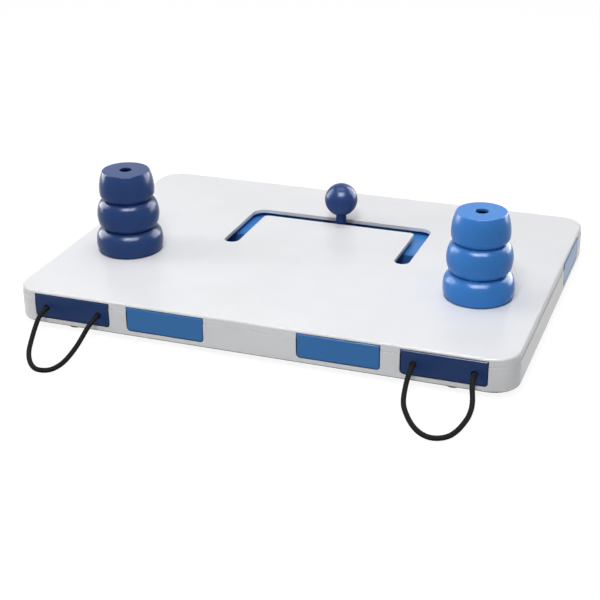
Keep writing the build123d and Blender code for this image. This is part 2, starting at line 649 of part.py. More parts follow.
def bend_radii(points):
    """Each corner's radius, as large as its two runs allow."""
    radii = []
    for before, here, after in zip(points, points[1:], points[2:]):
        run_in = Vector(*here) - Vector(*before)
        run_out = Vector(*after) - Vector(*here)
        turn = math.radians(run_in.get_angle(run_out))
        radii.append(CORD_BEND_SHARE * min(run_in.length, run_out.length) / math.tan(turn / 2))
    return radii


def pull_loop(drawer_x, free_points):
    """A cord along its route, with its bends as wide as the runs allow."""
    points = loop_route(drawer_x, free_points)
    radii = bend_radii(points)
    path = FilletPolyline(*points, radius=radii)
    rounded = [round(radius, 1) for radius in radii]
    print("pull loop length", round(path.length, 1), "bend radii", rounded)
    section = Plane(origin=path @ 0, z_dir=path % 0) * Circle(CORD_RADIUS)
    return sweep(section, path=path)


def loop_knots(x):
    """The two knots with their cord tails behind a corner drawer's front."""
    knots = []
    y_face = FRONT_Y + DRAWER_FRONT + SLIDE_GAP
    for offset in (-CORD_HOLE_SPACING / 2, CORD_HOLE_SPACING / 2):
        knot = Cylinder(KNOT_RADIUS, KNOT_LENGTH)
        knot = fillet(knot.edges().filter_by(GeomType.CIRCLE), KNOT_ROUND)
        tail = Pos(0, 0, -(KNOT_LENGTH + CORD_TAIL) / 2) * Cylinder(CORD_RADIUS, CORD_TAIL)
        place = Pos(x + offset, y_face + KNOT_LENGTH / 2, CORD_HOLE_Z) * Rot(90, 0, 0)
        knots.append(place * (knot + tail))
    return Compound(children=knots)


# ---- write every piece ----
def pieces():
    """Every node's name with its shape."""
    made = {
        "top_cover": top_cover(),
        "base_tray": base_tray(),
        "tray_ribs": tray_ribs(),
        "cover_ribs": cover_ribs(),
        "screw_posts": screw_posts(),
        "screw_bosses": screw_bosses(),
        "treat_dish_left": treat_dish(-CONE_X),
        "treat_dish_right": treat_dish(CONE_X),
        "corner_drawer_left": corner_drawer(-CORNER_DRAWER_X),
        "corner_drawer_right": corner_drawer(CORNER_DRAWER_X),
        "front_drawer_left": front_drawer(-FRONT_DRAWER_X),
        "front_drawer_right": front_drawer(FRONT_DRAWER_X),
        "cross_drawer": cross_drawer(),
        "ball_knob": ball_knob(),
        "knob_slider": knob_slider(),
        "knob_screw": screw(0, SLOT_BACK_Y, Z_SCREW_KNOB, KNOB_SCREW_LENGTH),
        "cone_left": cone(-CONE_X),
        "cone_right": cone(CONE_X),
        "pull_loop_left": pull_loop(-CORNER_DRAWER_X, LEFT_LOOP),
        "pull_loop_right": pull_loop(CORNER_DRAWER_X, RIGHT_LOOP),
        "loop_knots_left": loop_knots(-CORNER_DRAWER_X),
        "loop_knots_right": loop_knots(CORNER_DRAWER_X),
        "cover_screws": cover_screws(),
    }
    foot_names = ("foot_front_left", "foot_front_right", "foot_rear_left", "foot_rear_right")
    for name, (x, y) in zip(foot_names, foot_places()):
        made[name] = foot(x, y)
    return made


os.makedirs("parts", exist_ok=True)
for node, shape in pieces().items():
    export_step(shape, f"parts/{node}.step")
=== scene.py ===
import math
from typing import NamedTuple

import bmesh
import bpy
from mathutils import Matrix, Vector


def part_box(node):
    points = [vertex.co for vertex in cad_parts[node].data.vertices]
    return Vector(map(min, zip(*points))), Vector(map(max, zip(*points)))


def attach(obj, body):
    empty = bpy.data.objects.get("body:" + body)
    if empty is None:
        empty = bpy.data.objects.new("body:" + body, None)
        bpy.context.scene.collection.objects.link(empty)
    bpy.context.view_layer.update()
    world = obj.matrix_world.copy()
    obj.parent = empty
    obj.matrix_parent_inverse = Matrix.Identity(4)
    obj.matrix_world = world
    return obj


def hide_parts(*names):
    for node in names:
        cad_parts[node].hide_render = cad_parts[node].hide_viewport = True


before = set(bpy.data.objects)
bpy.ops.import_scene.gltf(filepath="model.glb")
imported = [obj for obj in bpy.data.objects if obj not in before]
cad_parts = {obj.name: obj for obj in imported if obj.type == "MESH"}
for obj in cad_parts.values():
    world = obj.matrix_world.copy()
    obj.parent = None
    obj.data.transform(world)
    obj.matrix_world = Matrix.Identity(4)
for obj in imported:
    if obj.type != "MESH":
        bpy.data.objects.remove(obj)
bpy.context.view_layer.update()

bl_info = {
    "name": "Treat board dressing",
    "version": (1, 0, 0),
    "blender": (4, 5, 0),
    "location": "3D View > Sidebar > Treat board",
    "description": "Gives a packed treat board its cords, knots, screws, moulded plastics and studio",
    "category": "Object",
}

MM = 0.001
DRAWER_SIDES = ("left", "right")

# The loops' free points in mm: x and y from the middle of the drawer's front edge, z from the ground.
LOOP_POINTS = {
    "left": [
        (-17.6, -7.5, 13.4), (-18.5, -14.3, 5.4), (-16.1, -23.0, 1.8), (-11.9, -32.5, 1.6), (-6.7, -41.3, 1.6),
        (-1.3, -48.1, 1.6), (4.9, -52.9, 1.6), (12.5, -51.3, 1.6), (15.1, -43.7, 1.6), (14.9, -34.5, 1.6),
        (13.5, -25.0, 1.6), (11.9, -15.0, 2.0), (16.5, -6.1, 13.3),
    ],
    "right": [
        (-17.2, -7.5, 13.4), (-17.9, -13.9, 4.8), (-16.1, -23.0, 1.7), (-11.5, -33.0, 1.6), (-6.1, -42.3, 1.6),
        (0.3, -49.9, 1.6), (7.9, -53.5, 1.6), (15.5, -49.7, 1.6), (18.7, -41.7, 1.6), (20.1, -33.0, 1.6),
        (20.9, -24.0, 1.7), (20.5, -14.5, 4.2), (17.5, -7.1, 13.3),
    ],
}


# ---- settings that a user would change ----
class CordSettings(bpy.types.PropertyGroup):
    """Sizes and colours of the pull loops and their knots."""

    diameter: bpy.props.FloatProperty(
        name="Diameter", description="Outer diameter of the cord", default=3 * MM, unit="LENGTH")
    hole_spacing: bpy.props.FloatProperty(
        name="Hole spacing", description="Distance between a drawer's two cord holes", default=34.6 * MM,
        unit="LENGTH")
    hole_height: bpy.props.FloatProperty(
        name="Hole height", description="Height of the cord holes over the ground", default=13.9 * MM, unit="LENGTH")
    knot_gap: bpy.props.FloatProperty(
        name="Knot gap", description="From the drawer's outer face to the knot behind it", default=2.7 * MM,
        unit="LENGTH")
    lead: bpy.props.FloatProperty(
        name="Braid lead", description="Length in which a strand goes once round", default=12 * MM, unit="LENGTH")
    strands: bpy.props.IntProperty(
        name="Strands", description="Strands that run in each direction, an even number", default=6, min=2)
    relief: bpy.props.FloatProperty(
        name="Relief", description="Depth of the grooves between strands", default=0.32 * MM, unit="LENGTH")
    # painted shade: the grooves between the strands take this colour in place of the yarn's
    dark: bpy.props.FloatVectorProperty(
        name="Groove colour", description="Colour between the strands", default=(0.006, 0.006, 0.007),
        subtype="COLOR_GAMMA")
    light: bpy.props.FloatVectorProperty(
        name="Yarn colour", description="Colour of the yarn", default=(0.095, 0.095, 0.1), subtype="COLOR_GAMMA")


class ScrewSettings(bpy.types.PropertyGroup):
    """Sizes and colour of the screws."""

    thread_pitch: bpy.props.FloatProperty(
        name="Thread pitch", description="Rise of the thread in one turn", default=1.1 * MM, unit="LENGTH")
    thread_depth: bpy.props.FloatProperty(
        name="Thread depth", description="Height of the thread over its core", default=0.32 * MM, unit="LENGTH")
    recess_width: bpy.props.FloatProperty(
        name="Recess width", description="Width of each arm of the cross recess", default=0.7 * MM, unit="LENGTH")
    recess_reach: bpy.props.FloatProperty(
        name="Recess reach", description="Length of each arm from the middle", default=1.7 * MM, unit="LENGTH")
    recess_depth: bpy.props.FloatProperty(
        name="Recess depth", description="Depth of the cross recess", default=1.2 * MM, unit="LENGTH")
    steel: bpy.props.FloatVectorProperty(
        name="Steel", description="Colour of the zinc-plated steel", default=(0.74, 0.75, 0.77),
        subtype="COLOR_GAMMA")


class PlasticSettings(bpy.types.PropertyGroup):
    """Colours and surface of the moulded plastics and the rubber feet."""

    white: bpy.props.FloatVectorProperty(
        name="White", description="Colour of tray and cover", default=(0.925, 0.928, 0.938), subtype="COLOR_GAMMA")
    dark_blue: bpy.props.FloatVectorProperty(
        name="Dark blue", description="Colour of the corner drawers, the ball and the left cone",
        default=(0.14, 0.245, 0.445), subtype="COLOR_GAMMA")
    light_blue: bpy.props.FloatVectorProperty(
        name="Light blue", description="Colour of the right cone", default=(0.215, 0.475, 0.765),
        subtype="COLOR_GAMMA")
    slide_blue: bpy.props.FloatVectorProperty(
        name="Slide blue", description="Colour of the cross drawer", default=(0.25, 0.525, 0.82),
        subtype="COLOR_GAMMA")
    drawer_blue: bpy.props.FloatVectorProperty(
        name="Drawer blue", description="Colour of the front drawers", default=(0.238, 0.475, 0.73),
        subtype="COLOR_GAMMA")
    rubber: bpy.props.FloatVectorProperty(
        name="Rubber", description="Colour of the feet", default=(0.13, 0.135, 0.145), subtype="COLOR_GAMMA")
    edge_round: bpy.props.FloatProperty(
        name="Edge round", description="Radius that moulded edges catch the light with", default=0.35 * MM,
        unit="LENGTH")
    ripple_size: bpy.props.FloatProperty(
        name="Ripple size", description="Width of the faint ripples in the gloss", default=1.4 * MM, unit="LENGTH")
    ripple_depth: bpy.props.FloatProperty(
        name="Ripple depth", description="Depth of the faint ripples", default=0.006 * MM, unit="LENGTH")
    flow_size: bpy.props.FloatProperty(
        name="Flow size", description="Width of the faint clouds in the colour", default=38 * MM, unit="LENGTH")
    # The four reaches below set how far the painted shade from ambient occlusion spreads out of gaps, creases and
    # recesses.
    painted_shade_reach: bpy.props.FloatProperty(
        name="Seam reach", description="How far out of a gap the tray, the drawers and the knob look darker",
        default=1.5 * MM, unit="LENGTH")
    slide_painted_shade_reach: bpy.props.FloatProperty(
        name="Slide seam reach", description="How far below the slot's edge the cross drawer looks darker",
        default=2.4 * MM, unit="LENGTH")
    shell_painted_shade_reach: bpy.props.FloatProperty(
        name="Shell seam reach", description="How far out of a gap the cover looks darker", default=1.2 * MM,
        unit="LENGTH")
    cone_painted_shade_reach: bpy.props.FloatProperty(
        name="Cone seam reach", description="How far out of their creases the cones look darker", default=0.1 * MM,
        unit="LENGTH")
    # strength of the painted shade on the tray's faces that look down
    underside: bpy.props.FloatProperty(
        name="Underside", description="How much darker the tray looks where it faces the ground", default=0.9,
        subtype="FACTOR", min=0, max=1)


class StudioSettings(bpy.types.PropertyGroup):
    """Camera, floor and lights."""

    camera_place: bpy.props.FloatVectorProperty(
        name="Camera place", description="Where the camera stands", default=(0.2695, -0.7488, 0.3587),
        subtype="TRANSLATION", unit="LENGTH")
    camera_azimuth: bpy.props.FloatProperty(
        name="Camera azimuth", description="Turn of the view from straight back", default=math.radians(20.466),
        subtype="ANGLE")
    camera_elevation: bpy.props.FloatProperty(
        name="Camera elevation", description="Height of the view over the horizon", default=math.radians(24.869),
        subtype="ANGLE")
    camera_roll: bpy.props.FloatProperty(
        name="Camera roll", description="Turn about the view axis", default=math.radians(-0.743), subtype="ANGLE")
    lens: bpy.props.FloatProperty(
        name="Lens", description="Focal length on a sensor 36 mm wide", default=80.617, unit="CAMERA")
    floor_size: bpy.props.FloatProperty(
        name="Floor size", description="Side of the square floor", default=8.0, unit="LENGTH")
    floor_colour: bpy.props.FloatVectorProperty(
        name="Floor colour", description="Colour that the floor lights the object with", default=(0.73, 0.73, 0.73),
        subtype="COLOR_GAMMA")
    shadow: bpy.props.FloatProperty(
        name="Shadow", description="How much of the floor's white comes from the lights", default=0.16,
        subtype="FACTOR", min=0, max=1)
    ambient: bpy.props.FloatProperty(
        name="Ambient", description="Level of the light from all round", default=0.32, min=0)


# ---- shader expressions ----
class Wire:
    """A shader socket that Python arithmetic adds Math nodes to."""

    def __init__(self, tree, socket):
        self.tree = tree
        self.socket = socket

    def join(self, operation, first, second):
        """One Math node on two sockets or numbers."""
        return self.tree.node("ShaderNodeMath", {"operation": operation}, {0: first, 1: second})

    def __add__(self, other):
        return self.join("ADD", self, other)

    def __radd__(self, other):
        return self.join("ADD", other, self)

    def __sub__(self, other):
        return self.join("SUBTRACT", self, other)

    def __rsub__(self, other):
        return self.join("SUBTRACT", other, self)

    def __mul__(self, other):
        return self.join("MULTIPLY", self, other)

    def __rmul__(self, other):
        return self.join("MULTIPLY", other, self)


class Tree:
    """A node tree in which one method makes every node."""

    def __init__(self, owner):
        owner.use_nodes = True
        self.nodes = owner.node_tree.nodes
        self.links = owner.node_tree.links
        self.nodes.clear()

    def node(self, kind, settings=None, inputs=None, output=0):
        """A node of this kind: its settings first, then what its sockets hold."""
        made = self.nodes.new(kind)
        for key, value in (settings or {}).items():
            setattr(made, key, value)
        for key, value in (inputs or {}).items():
            if isinstance(value, Wire):
                self.links.new(value.socket, made.inputs[key])
            else:
                made.inputs[key].default_value = value
        return Wire(self, made.outputs[output])

    def finish(self, kind, surface):
        """The output node, with this surface on it."""
        end = self.nodes.new(kind)
        self.links.new(surface.socket, end.inputs["Surface"])


def linear(colour):
    """A display colour as the shader's own light values."""
    values = []
    for channel in colour:
        low = channel / 12.92
        high = ((channel + 0.055) / 1.055) ** 2.4
        values.append(low if channel <= 0.04045 else high)
    return (*values, 1.0)


def scaled(colour, factor):
    """A colour made lighter or darker by a factor."""
    return (*[min(channel * factor, 1.0) for channel in colour[:3]], 1.0)


def object_place(tree):
    """The place on the object that its patterns hang on."""
    return tree.node("ShaderNodeTexCoord", output="Object")


def noise(tree, place, size, detail=2.0):
    """A noise value between 0 and 1 whose clouds are about this wide."""
    return tree.node("ShaderNodeTexNoise", None, {"Vector": place, "Scale": 1 / size, "Detail": detail})


def ramp(tree, value, ends, interpolation="LINEAR"):
    """0 to 1 while the value goes from the first end to the second."""
    return tree.node(
        "ShaderNodeMapRange", {"interpolation_type": interpolation}, {"Value": value, 1: ends[0], 2: ends[1]})


def mix_colour(tree, factor, first, second):
    """One colour over another by a factor."""
    settings = {"data_type": "RGBA"}
    return tree.node("ShaderNodeMix", settings, {"Factor": factor, 6: first, 7: second}, output=2)


def relief(tree, height, strength, depth, **base):
    """The height as relief on the surface, or on the Normal that is given."""
    return tree.node("ShaderNodeBump", None, {"Strength": strength, "Distance": depth, "Height": height, **base})


def finish_surface(tree, inputs):
    """Ends a material's tree in the surface shader with these values on its sockets."""
    tree.finish("ShaderNodeOutputMaterial", tree.node("ShaderNodeBsdfPrincipled", None, inputs))


# ---- materials ----
CLOUD_SHADES = (0.94, 1.05)  # the colour's factors in its dark and its light clouds
EDGE_HIGHLIGHT_SHADE = 1.5  # the colour's factor at the full painted highlight on an edge
EDGE_TURN = (1.0, 0.82)  # agreement of true and rounded normal, from a flat face to an edge with the full painted highlight
SHADE_OPENNESS = (0.2, 0.75)  # share of open sky, from the full painted shade in a gap or crease to a clear face
PAINTED_SHADE_FACTOR = 0.08  # the colour's factor in the painted shade of a gap or crease
UNDERSIDE_RISE = (-0.6, -0.1)  # the normal's rise, from an underside in full painted shade to a side wall without it


class Plastic(NamedTuple):
    """A moulded plastic: the nodes in it, the settings with its colour and with the reach of its painted shade, its
    roughness and its shine.
    """

    nodes: tuple
    colour: str
    painted_shade_reach: str
    gloss: float
    shine: float
    # painted shade on the faces that look down
    painted_underside_shade: bool = False


PLASTICS = (
    Plastic(("top_cover", "cover_ribs", "screw_bosses", "treat_dish_left", "treat_dish_right"),
            "white", "shell_painted_shade_reach", gloss=0.2, shine=0.16),
    Plastic(("base_tray", "tray_ribs", "screw_posts"),
            "white", "painted_shade_reach", gloss=0.2, shine=0.16, painted_underside_shade=True),
    Plastic(("corner_drawer_left", "corner_drawer_right", "ball_knob", "knob_slider"),
            "dark_blue", "painted_shade_reach", gloss=0.19, shine=0.14),
    Plastic(("front_drawer_left", "front_drawer_right"), "drawer_blue", "painted_shade_reach", gloss=0.2, shine=0.15),
    Plastic(("cone_left",), "dark_blue", "cone_painted_shade_reach", gloss=0.19, shine=0.14),
    Plastic(("cone_right",), "light_blue", "cone_painted_shade_reach", gloss=0.2, shine=0.15),
    Plastic(("cross_drawer",), "slide_blue", "slide_painted_shade_reach", gloss=0.2, shine=0.2),
)
FOOT_NODES = ("foot_front_left", "foot_front_right", "foot_rear_left", "foot_rear_right")


def moulded_plastic(plastic):
    """Glossy moulded plastic: faint ripples, clouds in the colour, painted highlights on the edges, painted shade in
    gaps and creases, and on the tray painted shade where it faces the ground.
    """
    settings = bpy.context.scene.board_plastic
    material = bpy.data.materials.new(f"{plastic.nodes[0]}_finish")
    tree = Tree(material)
    place = object_place(tree)
    body = linear(getattr(settings, plastic.colour))
    clouds = noise(tree, place, settings.flow_size, 3.0)
    # noise for dust in the roughness and for the strength of the painted edge highlight
    dust_and_highlight_noise = noise(tree, place, settings.ripple_size * 3, 6.0)
    ripple = noise(tree, place, settings.ripple_size, 1.0)
    rounded = tree.node("ShaderNodeBevel", {"samples": 8}, {"Radius": settings.edge_round})
    flat = tree.node("ShaderNodeNewGeometry", output="Normal")
    aligned = tree.node("ShaderNodeVectorMath", {"operation": "DOT_PRODUCT"}, {0: rounded, 1: flat}, output=1)
    edge = ramp(tree, aligned, EDGE_TURN)
    clouded = mix_colour(tree, clouds, *[scaled(body, shade) for shade in CLOUD_SHADES])
    # painted highlight: the edges lighter than the body, more so where the noise is high
    edge_highlight = mix_colour(tree, edge * (0.25 + 0.35 * dust_and_highlight_noise), clouded, scaled(body, EDGE_HIGHLIGHT_SHADE))
    reach = getattr(settings, plastic.painted_shade_reach)
    # painted shade: the colour darkens where the surface sees little open sky within the reach
    openness = tree.node("ShaderNodeAmbientOcclusion", {"samples": 8}, {"Distance": reach}, output=1)
    shaded = mix_colour(tree, ramp(tree, openness, SHADE_OPENNESS), scaled(body, PAINTED_SHADE_FACTOR), edge_highlight)
    # painted shade on the faces that look down, fading out towards the side walls
    if plastic.painted_underside_shade:
        rise = tree.node("ShaderNodeSeparateXYZ", None, {0: flat}, output="Z")
        below = 1.0 - ramp(tree, rise, UNDERSIDE_RISE)
        shaded = mix_colour(tree, below, shaded, scaled(body, 1.0 - settings.underside))
    finish_surface(tree, {
        "Base Color": shaded,
        "Roughness": plastic.gloss + 0.07 * dust_and_highlight_noise + 0.1 * edge,
        "Specular IOR Level": plastic.shine,
        "Normal": relief(tree, ripple, 1.0, settings.ripple_depth, Normal=rounded),
    })
    return material


def foot_rubber():
    """Matt rubber with pale specks and dusty patches."""
    material = bpy.data.materials.new("foot_rubber_finish")
    tree = Tree(material)
    place = object_place(tree)
    body = linear(bpy.context.scene.board_plastic.rubber)
    specks = ramp(tree, noise(tree, place, 0.5 * MM), (0.6, 0.75))
    clouds = noise(tree, place, 4 * MM, 3.0)
    finish_surface(tree, {
        "Base Color": mix_colour(tree, 0.5 * specks + 0.3 * clouds, body, scaled(body, 3.0)),
        "Roughness": 0.7 + 0.2 * clouds,
        "Specular IOR Level": 0.15,
        "Normal": relief(tree, noise(tree, place, 0.6 * MM), 0.6, 0.05 * MM),
    })
    return material


def screw_steel():
    """Zinc-plated steel with fine turning marks and dull patches."""
    material = bpy.data.materials.new("screw_steel_finish")
    tree = Tree(material)
    place = object_place(tree)
    body = linear(bpy.context.scene.board_screw.steel)
    patches = noise(tree, place, 1.5 * MM, 4.0)
    grain = noise(tree, place, 0.15 * MM)
    finish_surface(tree, {
        "Base Color": mix_colour(tree, patches, scaled(body, 0.75), scaled(body, 1.1)),
        "Metallic": 1.0,
        "Roughness": 0.2 + 0.25 * patches,
        "Normal": relief(tree, grain, 0.4, 0.02 * MM),
    })
    return material


def cord_yarn():
    """Black braided yarn: matt fibres along the strands and painted shade in the grooves between them."""
    settings = bpy.context.scene.board_cord
    material = bpy.data.materials.new("cord_yarn_finish")
    tree = Tree(material)
    place = object_place(tree)
    height = tree.node("ShaderNodeAttribute", {"attribute_name": "strand_height"}, output="Fac")
    fibres = noise(tree, place, 0.22 * MM, 3.0)
    crown_variation = noise(tree, place, 7 * MM)
    light = linear(settings.light)
    yarn = mix_colour(tree, fibres, scaled(light, 0.7), scaled(light, 1.5))
    # the crowns show the yarn and the grooves the painted shade, which reaches further up the crowns in random
    # patches
    crown = height * height * (0.6 + 0.4 * crown_variation)
    finish_surface(tree, {
        "Base Color": mix_colour(tree, crown * crown, linear(settings.dark), yarn),
        "Roughness": 0.72 + 0.2 * fibres,
        "Specular IOR Level": 0.1,
        "Normal": relief(tree, fibres, 0.7, 0.06 * MM),
    })
    return material


def finish_nodes(names, material):
    """Gives each of these nodes the material."""
    for name in names:
        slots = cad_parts[name].data.materials
        slots.clear()
        slots.append(material)


class BOARD_OT_plastics(bpy.types.Operator):
    """Finishes the moulded parts in white and blue plastic"""

    bl_idname = "board.plastics"
    bl_label = "Moulded plastics"

    def execute(self, context):
        for plastic in PLASTICS:
            finish_nodes(plastic.nodes, moulded_plastic(plastic))
        return {"FINISHED"}


class BOARD_OT_feet(bpy.types.Operator):
    """Finishes the feet in speckled rubber"""

    bl_idname = "board.feet"
    bl_label = "Feet"

    def execute(self, context):
        finish_nodes(FOOT_NODES, foot_rubber())
        return {"FINISHED"}


# ---- tubes with a braid or a thread on them ----
BRAID_STEP = 0.25 * MM
CROWN_SHARE = 0.6  # how much of a strand's height is its round, the rest being its weave
BLUNT_TIP = 0.15  # width that a rounded end keeps at its tip


def line_length(points):
    """The length of a line through these points."""
    return sum((after - before).length for before, after in zip(points, points[1:]))


def even_points(points, step):
    """Points along the same line, a fixed step apart."""
    lengths = [0.0]
    for before, here in zip(points, points[1:]):
        lengths.append(lengths[-1] + (here - before).length)
    count = max(2, round(lengths[-1] / step))
    spaced = []
    index = 0
    for number in range(count + 1):
        target = lengths[-1] * number / count
        while index < len(points) - 2 and lengths[index + 1] < target:
            index += 1
        share = (target - lengths[index]) / (lengths[index + 1] - lengths[index])
        spaced.append(points[index].lerp(points[index + 1], share))
    return spaced


def line_frames(points):
    """Two directions across the line at each point, carried along it without twist."""
    tangents = []
    for index in range(len(points)):
        before = points[max(index - 1, 0)]
        after = points[min(index + 1, len(points) - 1)]
        tangents.append((after - before).normalized())
    side = tangents[0].orthogonal().normalized()
    frames = []
    for index, tangent in enumerate(tangents):
        if index:
            side = tangents[index - 1].rotation_difference(tangent) @ side
        side = (side - tangent * side.dot(tangent)).normalized()
        frames.append((side, tangent.cross(side)))
    return frames


def braid_height(turn, along, strands):
    """How high the outer strand stands here, from 0 in a groove to 1 on a crown."""
    best = 0.0
    for hand in (1, -1):
        phase = (strands * (turn - hand * along) + 0.5) % 1.0 - 0.5
        crown = math.sqrt(max(0.0, 1.0 - (2 * phase) ** 2))
        lift = 0.5 + 0.5 * hand * math.cos(2 * math.pi * strands * along)
        best = max(best, CROWN_SHARE * crown + (1 - CROWN_SHARE) * lift)
    return best


def end_narrowing(distance, length):
    """1 away from an end, falling to a small tip within the rounded length."""
    if distance >= length:
        return 1.0
    share = 1 - distance / length
    return max(BLUNT_TIP, math.sqrt(max(0.0, 1 - share * share)))


def braided_tube(mesh, path, radius, sides=32, end_rounds=(0.0, 0.0)):
    """Adds a braided tube along the path to a bmesh, with its ends closed."""
    settings = bpy.context.scene.board_cord
    layer = mesh.verts.layers.float.get("strand_height") or mesh.verts.layers.float.new("strand_height")
    rings = []
    travelled = 0.0
    total = line_length(path)
    for index, (centre, (side, up)) in enumerate(zip(path, line_frames(path))):
        if index:
            travelled += (centre - path[index - 1]).length
        narrow = end_narrowing(travelled, end_rounds[0]) * end_narrowing(total - travelled, end_rounds[1])
        ring = []
        for number in range(sides):
            turn = number / sides
            height = braid_height(turn, travelled / settings.lead, settings.strands)
            reach = (radius - settings.relief * (1 - height)) * narrow
            angle = 2 * math.pi * turn
            vertex = mesh.verts.new(centre + reach * (math.cos(angle) * side + math.sin(angle) * up))
            vertex[layer] = height
            ring.append(vertex)
        rings.append(ring)
    close_rings(mesh, rings)


def close_rings(mesh, rings):
    """Joins rings of vertices into a closed tube."""
    for ring, after in zip(rings, rings[1:]):
        count = len(ring)
        for number in range(count):
            following = (number + 1) % count
            mesh.faces.new((ring[number], ring[following], after[following], after[number]))
    mesh.faces.new(list(reversed(rings[0])))
    mesh.faces.new(rings[-1])


def piece_from(mesh, name, material):
    """A smooth object made from a bmesh, with its material."""
    bmesh.ops.recalc_face_normals(mesh, faces=mesh.faces)
    for face in mesh.faces:
        face.smooth = True
    data = bpy.data.meshes.new(name)
    mesh.to_mesh(data)
    mesh.free()
    data.materials.append(material)
    made = bpy.data.objects.new(name, data)
    bpy.context.collection.objects.link(made)
    return made


# ---- pull loops and knots ----
LOOP_FINENESS = 24  # points of the smooth line between two points of the route
WRAP_REACH = 2.8 * MM
WRAP_RADIUS = 1.15 * MM
WRAP_TURNS = 2.4
WRAP_STEPS = 24  # steps of the line in one turn
WRAP_SIDES = 20
WRAP_TUCK = 0.55  # how far in the wraps' ends lie, as a share of their reach
TUCK_CURVE = 0.35  # below 1, so that the wraps swell out early and stay out
KNOT_LENGTH = 6 * MM
TAIL_LENGTH = 9.9 * MM
TAIL_RADIUS = 1.42 * MM
TAIL_ROUND = 0.8 * MM
TAIL_SIDES = 24


def drawer_front(side):
    """The middle of a corner drawer's front edge, at ground level."""
    low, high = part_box(f"corner_drawer_{side}")
    return Vector(((low[0] + high[0]) / 2, low[1], 0.0))


def cord_ends(side):
    """Where a loop's two ends meet their knots."""
    settings = bpy.context.scene.board_cord
    front = drawer_front(side)
    lift = Vector((0.0, settings.knot_gap, settings.hole_height))
    half = Vector((settings.hole_spacing / 2, 0.0, 0.0))
    return front + lift - half, front + lift + half


def loop_line(side):
    """The loop's smooth line, read from a NURBS spline on its route."""
    front = drawer_front(side)
    first, last = cord_ends(side)
    route = [first] + [front + Vector(point) * MM for point in LOOP_POINTS[side]] + [last]
    curve = bpy.data.curves.new("route", "CURVE")
    curve.dimensions = "3D"
    spline = curve.splines.new("NURBS")
    spline.points.add(len(route) - 1)
    for point, place in zip(spline.points, route):
        point.co = (*place, 1.0)
    spline.order_u = 3
    spline.use_endpoint_u = True
    spline.resolution_u = LOOP_FINENESS
    holder = bpy.data.objects.new("route", curve)
    bpy.context.collection.objects.link(holder)
    bpy.context.view_layer.update()
    read = bpy.data.meshes.new_from_object(holder)
    points = [vertex.co.copy() for vertex in read.vertices]
    bpy.data.objects.remove(holder)
    bpy.data.curves.remove(curve)
    bpy.data.meshes.remove(read)
    return points


def wrap_line(start, pitch):
    """The knot's wraps: a helix round the tail, with its ends tucked in."""
    points = []
    steps = int(WRAP_TURNS * WRAP_STEPS)
    for number in range(steps + 1):
        share = number / steps
        angle = 2 * math.pi * WRAP_TURNS * share
        tuck = WRAP_TUCK + (1 - WRAP_TUCK) * math.sin(math.pi * share) ** TUCK_CURVE
        away = WRAP_REACH * tuck
        points.append(start + Vector((away * math.cos(angle), pitch * WRAP_TURNS * share, away * math.sin(angle))))
    return points


def tie_knot(mesh, end):
    """Adds one stopper knot: a straight tail and the wraps round it."""
    tail = [end, end + Vector((0.0, TAIL_LENGTH, 0.0))]
    braided_tube(mesh, even_points(tail, BRAID_STEP), TAIL_RADIUS, TAIL_SIDES, (0.0, TAIL_ROUND))
    start = end + Vector((0.0, WRAP_RADIUS, 0.0))
    wraps = wrap_line(start, (KNOT_LENGTH - 2 * WRAP_RADIUS) / WRAP_TURNS)
    braided_tube(mesh, even_points(wraps, BRAID_STEP), WRAP_RADIUS, WRAP_SIDES, (WRAP_RADIUS, WRAP_RADIUS))


class BOARD_OT_knots(bpy.types.Operator):
    """Ties a stopper knot with a short tail behind each cord hole"""

    bl_idname = "board.knots"
    bl_label = "Knots"

    def execute(self, context):
        material = cord_yarn()
        for side in DRAWER_SIDES:
            mesh = bmesh.new()
            for end in cord_ends(side):
                tie_knot(mesh, end)
            knots = piece_from(mesh, f"stopper_knots_{side}", material)
            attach(knots, f"corner_drawer_{side}")
            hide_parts(f"loop_knots_{side}")
        return {"FINISHED"}


class BOARD_OT_pull_loops(bpy.types.Operator):
    """Lays the braided pull loops of the two corner drawers"""

    bl_idname = "board.pull_loops"
    bl_label = "Pull loops"

    def execute(self, context):
        settings = context.scene.board_cord
        material = cord_yarn()
        for side in DRAWER_SIDES:
            line = loop_line(side)
            mesh = bmesh.new()
            braided_tube(mesh, even_points(line, BRAID_STEP), settings.diameter / 2)
            loop = piece_from(mesh, f"braided_loop_{side}", material)
            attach(loop, f"corner_drawer_{side}")
            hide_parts(f"pull_loop_{side}")
            leave = cord_ends(side)[0]
            leave.y = drawer_front(side).y
            line_length(line)
        return {"FINISHED"}


# ---- screws ----
SCREW_HEAD_RADIUS = 2.8 * MM
SCREW_HEAD_HEIGHT = 2.0 * MM
SCREW_RADIUS = 1.45 * MM
SCREW_POINT = 1.6 * MM
SCREW_SIDES = 24
POINT_CURVE = 0.6  # below 1, so that the point bulges
POINT_TIP = 0.12  # width that the point keeps at its tip
THREAD_STEP = 0.22 * MM
THREAD_FLANK = 0.22  # width of a flank as a share of the pitch
# radius and height of the head's outline as shares of its size, from the shaft round to the middle
HEAD_OUTLINE = [
    (0.52, 1.0), (0.97, 1.0), (1.0, 0.94), (1.0, 0.42), (0.93, 0.2), (0.78, 0.06), (0.5, 0.0), (0.2, 0.0),
]
RECESS_TAPER = 0.55  # length and width of the recess at its bottom, as a share of those at its mouth
RECESS_MARGIN = 0.2 * MM  # how far the cutter stands out of the head
SHARP_ANGLE = math.radians(38)
MERGE_DISTANCE = 0.001 * MM


def level_ring(mesh, centre, reaches):
    """A level ring of vertices, each at its own distance from the centre."""
    ring = []
    for number, reach in enumerate(reaches):
        angle = 2 * math.pi * number / len(reaches)
        ring.append(mesh.verts.new(centre + Vector((reach * math.cos(angle), reach * math.sin(angle), 0.0))))
    return ring


